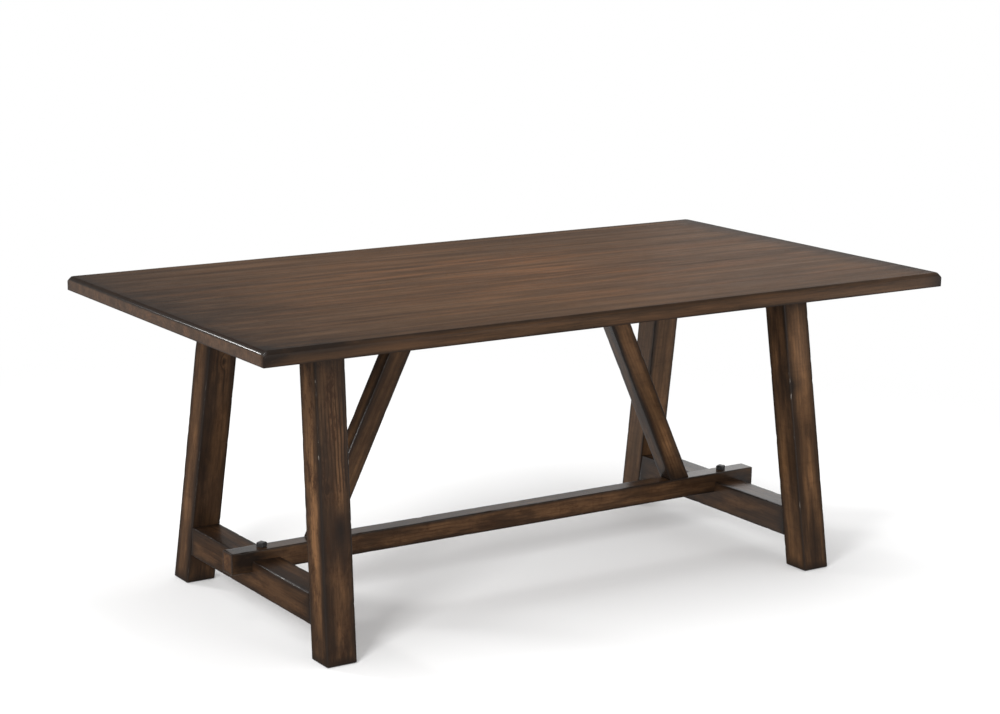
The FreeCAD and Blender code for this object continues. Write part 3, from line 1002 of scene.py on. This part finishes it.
def edgePlace(mark, low, high, beside, edge):
    # place on the line, drop of the upper face, distance in from the wall (a metre between edges)
    side, spot = mark
    if side == 0:
        return spot, 0.0, 1.0
    back, bevel = edgeWear(beside, edge + side)
    inward = bevel * spot[0]
    wall = (high - back) if side > 0 else (low + back)
    return wall - side * inward, bevel * spot[1], inward


def buildBoard(number, low, high, count):
    alongMarks = spacedLine(low.x, high.x, top["step"][0], True, True)
    acrossMarks = spacedLine(low.y, high.y, top["step"][1], number == 0, number == count - 1)
    ease = top["underEase"]
    waveX, waveY = top["waveStretch"]
    upper = []
    lower = []
    for markX in alongMarks:
        for markY in acrossMarks:
            nearX = {-1: low.x, 0: markX[1], 1: high.x}[markX[0]]
            nearY = {-1: low.y, 0: markY[1], 1: high.y}[markY[0]]
            x, dropX, inX = edgePlace(markX, low.x, high.x, nearY, top["endEdge"])
            y, dropY, inY = edgePlace(markY, low.y, high.y, nearX, top["sideEdge"])
            seam = min(y - low.y, high.y - y)
            dip = top["seamDip"] * max(0.0, 1 - seam / top["seamReach"])
            sink = top["waviness"] * waver(Vector((x * waveX, y * waveY, 4.0)), top["waveScale"]) + dip
            corner = math.hypot(slabHalf.x - abs(x), slabHalf.y - abs(y)) / top["cornerReach"]
            sink += top["cornerDrop"] * max(0.0, 1 - corner) ** top["cornerPower"]
            upper.append(Vector((x, y, high.z - max(dropX, dropY) - sink)))
            gap = max(0.0, ease - min(inX, inY))
            lift = ease - math.sqrt(max(0.0, ease * ease - gap * gap))
            lower.append(Vector((x, y, low.z + lift)))
    columns = len(acrossMarks)
    lines = len(alongMarks)
    base = len(upper)
    faces = []
    for row in range(lines - 1):
        for column in range(columns - 1):
            corner = row * columns + column
            quad = (corner, corner + columns, corner + columns + 1, corner + 1)
            faces.append(quad)
            faces.append(tuple(base + index for index in reversed(quad)))
    rim = list(range(0, lines * columns, columns))
    rim += range((lines - 1) * columns + 1, lines * columns)
    rim += range((lines - 1) * columns - 1, columns - 2, -columns)
    rim += range(columns - 2, 0, -1)
    for index, corner in enumerate(rim):
        after = rim[(index + 1) % len(rim)]
        faces.append((corner, base + corner, base + after, after))
    return meshObject("plankTop_%d" % (number + 1), upper + lower, faces, top["sharpAngle"])


boardCount = len(top["hearts"])
for number, (heart, mood) in enumerate(zip(top["hearts"], top["moods"])):
    name = "top_board_%d" % (number + 1)
    low, high = nodeBox(name)
    plank = buildBoard(number, low, high, boardCount)
    inner = ([low.y] if number > 0 else []) + ([high.y] if number < boardCount - 1 else [])
    seams = [edge - slabMiddle.y for edge in inner]
    spec = {**top, "heart": heart, "mood": mood, "seams": seams}
    layGrain(plank, slabMiddle, tableAxes, slabHalf, spec)
    dress(plank, name, *topTimber)
print("top built")

# Lap bolts: forged square heads, chamfered and a little uneven, on round shanks
lapBolts = {
    "across": 0.019,
    "turn": 26.0,
    "chamfer": 0.0019,
    "shank": 0.005,
    "around": 48,
    "unevenness": 0.0003,
    "unevenScale": 220.0,
    "dome": 0.0005,
    "tipEase": 0.001,
    "headEase": (0.0005, 0.0007),
    "headCorner": 0.1,
    "squareness": 22,
    "tipShare": 0.8,
    "sharpAngle": 30.0,
}


def squareLoop(centre, half, corner, z, spec):
    # a rounded square: corner is 1 for a circle and 0 for the squarest
    points = []
    for number in range(spec["around"]):
        angle = 2 * math.pi * number / spec["around"]
        power = 2 + spec["squareness"] * (1 - corner)
        scale = half * (abs(math.cos(angle)) ** power + abs(math.sin(angle)) ** power) ** (-1 / power)
        angle += math.radians(spec["turn"])
        points.append(Vector((centre.x + scale * math.cos(angle), centre.y + scale * math.sin(angle), z)))
    return points


def buildLapBolt(name, low, high, headBase, spec):
    centre = (low + high) / 2
    half = spec["across"] / 2 - spec["unevenness"]
    crownBase = high.z - spec["dome"]
    chamfer = spec["chamfer"]
    shank = spec["shank"]
    corner = spec["headCorner"]
    easeIn, easeUp = spec["headEase"]
    # half size, corner and height of each ring, from the tip up
    profile = [
        (shank * spec["tipShare"], 1.0, low.z),
        (shank, 1.0, low.z + spec["tipEase"]),
        (shank, 1.0, headBase),
        (half - easeIn, corner, headBase),
        (half, corner, headBase + easeUp),
        (half, corner, crownBase - chamfer),
        (half - chamfer * 0.45, 0.15, crownBase - chamfer * 0.55),
        (half - chamfer, 0.25, crownBase),
        (half * 0.45, 0.6, high.z - spec["dome"] * 0.25),
    ]
    verts = []
    for reach, corner, z in profile:
        for point in squareLoop(centre, reach, corner, z, spec):
            if z > headBase:
                shift = (waver(point, spec["unevenScale"]) - 0.5) * 2 * spec["unevenness"]
                point += Vector((point.x - centre.x, point.y - centre.y, 0)).normalized() * shift
            verts.append(point)
    around = spec["around"]
    faces = stripFaces(len(profile), around)
    faces.append(tuple(reversed(range(around))))
    crown = len(verts)
    verts.append(Vector((centre.x, centre.y, high.z)))
    last = crown - around
    for point in range(around):
        faces.append((last + point, last + (point + 1) % around, crown))
    return meshObject(name, verts, faces, spec["sharpAngle"])


for side in ("left", "right"):
    name = "lap_bolt_" + side
    low, high = nodeBox(name)
    bolt = buildLapBolt("forgedBolt_" + side, low, high, longHigh.z, lapBolts)
    dress(bolt, name, "blackened_steel", finishes["blackSteel"])
print("lap bolts built")

# Studio: a pale floor, partly white everywhere and all white far out, white surroundings, soft lamps
studio = {
    "floorColour": (0.97, 0.97, 0.97),
    "floorRoughness": 0.9,
    "floorSpecular": 0.1,
    "floorHalf": 14.0,
    "fadeStart": 1.2,
    "fadeEnd": 2.8,
    "fadeLeast": 0.22,
    "skyForDiffuse": 0.56,
    # place, what it looks at, size and watts of each lamp
    "lamps": {
        "keyLeft": ((-3.3, -2.2, 2.0), (0, 0, 0.45), 1.1, 115.0),
        "rimLeft": ((-2.3, 2.6, 2.1), (-0.6, 0, 0.6), 0.5, 32.0),
        "glint": ((-1.89, -0.39, 3.19), (-0.95, -0.5, 0.76), 0.25, 4.0),
        "rimRight": ((4.3, 3.6, 1.7), (0.4, 0, 0.5), 1.6, 10.0),
        "fillFront": ((1.6, -4.6, 1.3), (0.2, 0, 0.4), 2.4, 48.0),
        "overhead": ((0.7, 0, 4.0), (0.2, 0, 0.6), 3.0, 95.0),
    },
}


def seenRays(base):
    # camera, mirror and see-through rays get the plain white surroundings
    path = base.node("ShaderNodeLightPath", {}, {}).socket.node.outputs
    names = ("Is Camera Ray", "Is Glossy Ray", "Is Transmission Ray")
    rays = [Wire(base.tree, path[name]) for name in names]
    return (rays[0] + rays[1] + rays[2]).low(1.0)


def buildStudio(spec):
    half = spec["floorHalf"]
    corners = [(-half, -half, 0), (half, -half, 0), (half, half, 0), (-half, half, 0)]
    floor = meshObject("studioFloor", corners, [(0, 1, 2, 3)])
    material, base, shader = newMaterial("studioFloor")
    plug(shader, "Base Color", rgb(*spec["floorColour"]))
    plug(shader, "Roughness", spec["floorRoughness"])
    plug(shader, "Specular IOR Level", spec["floorSpecular"])
    place = base.node("ShaderNodeTexCoord", {}, {}, out="Object")
    away = base.node("ShaderNodeVectorMath", {"operation": "LENGTH"}, {0: place}, out="Value")
    white = base.node("ShaderNodeEmission", {}, {"Color": rgb(1, 1, 1), "Strength": 1.0})
    far = away.rise(spec["fadeStart"], spec["fadeEnd"])
    fade = (far * (1 - spec["fadeLeast"]) + spec["fadeLeast"]) * seenRays(base)
    pale = Wire(base.tree, shader.outputs[0])
    mixed = base.node("ShaderNodeMixShader", {}, {0: fade, 1: pale, 2: white})
    plug(base.tree.nodes["Material Output"], "Surface", mixed)
    floor.data.materials.append(material)

    world = bpy.data.worlds.new("studio")
    bpy.context.scene.world = world
    world.use_nodes = True
    base = Wire(world.node_tree)
    seen = seenRays(base)
    strength = seen + (1 - seen) * spec["skyForDiffuse"]
    sky = world.node_tree.nodes["Background"]
    plug(sky, "Color", rgb(1, 1, 1))
    plug(sky, "Strength", strength)

    for name, (place, target, size, watts) in spec["lamps"].items():
        light = bpy.data.lights.new(name, "AREA")
        light.energy = watts
        light.size = size
        holder = linkObject(name, light)
        holder.location = place
        holder.visible_camera = False
        aim = Vector(target) - Vector(place)
        holder.rotation_euler = aim.to_track_quat("-Z", "Y").to_euler()


buildStudio(studio)
print("studio lit")

# Camera at the photograph's place: angles in degrees, lengths in metres, image sizes in pixels
view = {
    "azimuth": -31.759,
    "elevation": 13.321,
    "roll": 0.515,
    "distance": 5.2931,
    "target": (-0.3147, 0.0, 0.493),
    "image": (1000.0, 714.0),
    "focalPixels": 2205.7,
    "principal": (400.0, 395.8),
    "sensor": 36.0,
    "clipEnd": 100.0,
}


def buildCamera(spec):
    lens = bpy.data.cameras.new("photoView")
    width, height = spec["image"]
    lens.sensor_width = spec["sensor"]
    lens.lens = spec["sensor"] * spec["focalPixels"] / width
    lens.shift_x = (width / 2 - spec["principal"][0]) / width
    lens.shift_y = (spec["principal"][1] - height / 2) / width
    lens.clip_end = spec["clipEnd"]
    camera = linkObject("photoView", lens)
    tilt = (math.radians(90 - spec["elevation"]), 0, math.radians(spec["azimuth"]))
    turn = Euler(tilt, "XYZ").to_matrix() @ Matrix.Rotation(math.radians(spec["roll"]), 3, "Z")
    camera.rotation_euler = turn.to_euler()
    camera.location = Vector(spec["target"]) + turn @ Vector((0, 0, spec["distance"]))
    bpy.context.scene.camera = camera


buildCamera(view)
bpy.context.scene.view_settings.view_transform = "Standard"
print("camera set")
